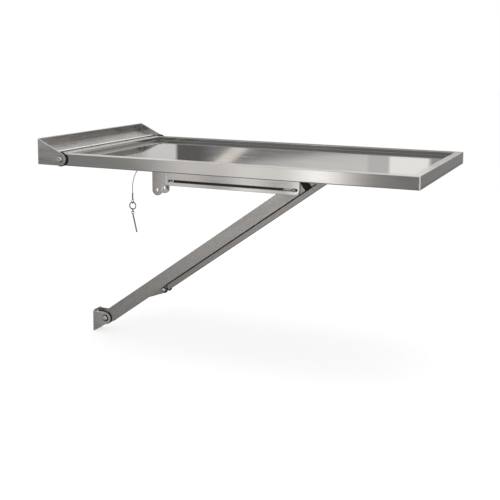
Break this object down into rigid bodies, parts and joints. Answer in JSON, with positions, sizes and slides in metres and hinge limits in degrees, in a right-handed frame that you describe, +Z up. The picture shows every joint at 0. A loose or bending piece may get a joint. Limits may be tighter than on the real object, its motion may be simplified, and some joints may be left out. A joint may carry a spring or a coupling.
{
  "type": "veterinary exam table",
  "caption": "Wall-mounted fold-up veterinary exam table: stainless tray hinged on a wall bracket, held by a sliding strut with a sprung latch bar and a lock pin on a lanyard.",
  "frame": {"origin": "on the wall plane, at the middle of the upper back plate's rear face, level with the top of the tray's rim", "axes": "+X out from the wall along the table, +Z up, +Y to the left as seen from the wall"},
  "size_m": [1.219, 0.637, 0.709],
  "materials": {
    "stainless_sheet": "304 sheet, fine brushed along its length",
    "stainless_section": "304 tube and folded sheet, brushed along its length",
    "stainless_hardware": "plain stainless fasteners and bushes, turned",
    "black_polymer": "black wear-resistant plastic, matt",
    "wire_rope": "stranded stainless wire rope",
    "spring_steel": "drawn spring wire",
    "pin_steel": "polished steel"
  },
  "bodies": {
    "wall_mount": {"upper_wall_bracket": "stainless_sheet", "rear_apron": "stainless_sheet", "table_pivot_bolts": "stainless_hardware", "table_pivot_nuts": "stainless_hardware", "table_pivot_spacers": "black_polymer", "lower_wall_bracket": "stainless_sheet", "lower_pivot_bolt": "stainless_hardware", "lower_pivot_nut": "stainless_hardware", "lower_pivot_spacers": "black_polymer"},
    "table_top": {"tray_top": "stainless_sheet", "spine_channel": "stainless_section", "cross_stiffeners": "stainless_section", "pivot_bosses": "stainless_hardware", "slide_rail": "stainless_section", "rail_bolts": "stainless_hardware", "rail_nuts": "stainless_hardware", "lock_bracket": "stainless_section", "lock_bracket_bolts": "stainless_hardware", "lock_bracket_nuts": "stainless_hardware", "lanyard_screw": "stainless_hardware"},
    "strut": {"strut_tube": "stainless_section", "strut_foot_bush": "stainless_hardware", "strut_head_sleeve": "stainless_hardware", "strut_end_block": "black_polymer", "latch_clevis": "stainless_section", "latch_pivot_bolt": "stainless_hardware", "latch_pivot_nut": "stainless_hardware", "latch_spacers": "black_polymer", "latch_spring": "spring_steel"},
    "latch": {"latch_bar": "stainless_section", "latch_bush": "stainless_hardware", "latch_foot": "stainless_section", "latch_foot_bolt": "stainless_hardware", "latch_foot_nut": "stainless_hardware"},
    "slide_shuttle": {"slide_pins": "stainless_hardware", "slide_spacers": "black_polymer", "slide_washers": "stainless_hardware"},
    "lanyard": {"lanyard_lug": "pin_steel", "lanyard_wire": "wire_rope", "lanyard_eye": "wire_rope"},
    "lock_pin_set": {"split_ring": "pin_steel", "pin_link": "pin_steel", "lock_pin": "pin_steel"}
  },
  "joints": [
    {"name": "table_fold", "type": "hinge", "parent": "wall_mount", "child": "table_top", "pos_m": [0.084, 0, -0.018], "axis": [0, -1, 0], "range_deg": [0, 90]},
    {"name": "strut_swing", "type": "hinge", "parent": "wall_mount", "child": "strut", "pos_m": [0.05, 0, -0.614], "axis": [0, -1, 0], "range_deg": [0, 46.02]},
    {"name": "slide", "type": "slide", "parent": "table_top", "child": "slide_shuttle", "axis": [1, 0, 0], "range_m": [-0.4102, 0]},
    {"name": "latch_release", "type": "hinge", "parent": "strut", "child": "latch", "pos_m": [0.2823, 0, -0.48674], "axis": [0, 1, 0], "range_deg": [0, 5], "stiffness_Nm_per_rad": 16, "springref_deg": -34.38, "deforming": ["latch_spring"]},
    {"name": "lanyard_swing", "type": "hinge", "parent": "table_top", "child": "lanyard", "pos_m": [0.252, -0.0265, -0.0528], "axis": [0, -1, 0], "range_deg": [-52.1, 0]},
    {"name": "lock_pin_swing", "type": "hinge", "parent": "lanyard", "child": "lock_pin_set", "pos_m": [0.169, -0.0287, -0.19615], "axis": [0, -1, 0], "range_deg": [-38.1, 0]}
  ],
  "couplings": [
    {"joint": "strut_swing", "follows": "table_fold", "ratio": 0.51127},
    {"joint": "slide", "follows": "table_fold", "m_per_rad": -0.2611},
    {"joint": "lanyard_swing", "follows": "table_fold", "ratio": -0.57778},
    {"joint": "lock_pin_swing", "follows": "table_fold", "ratio": -0.42222}
  ]
}
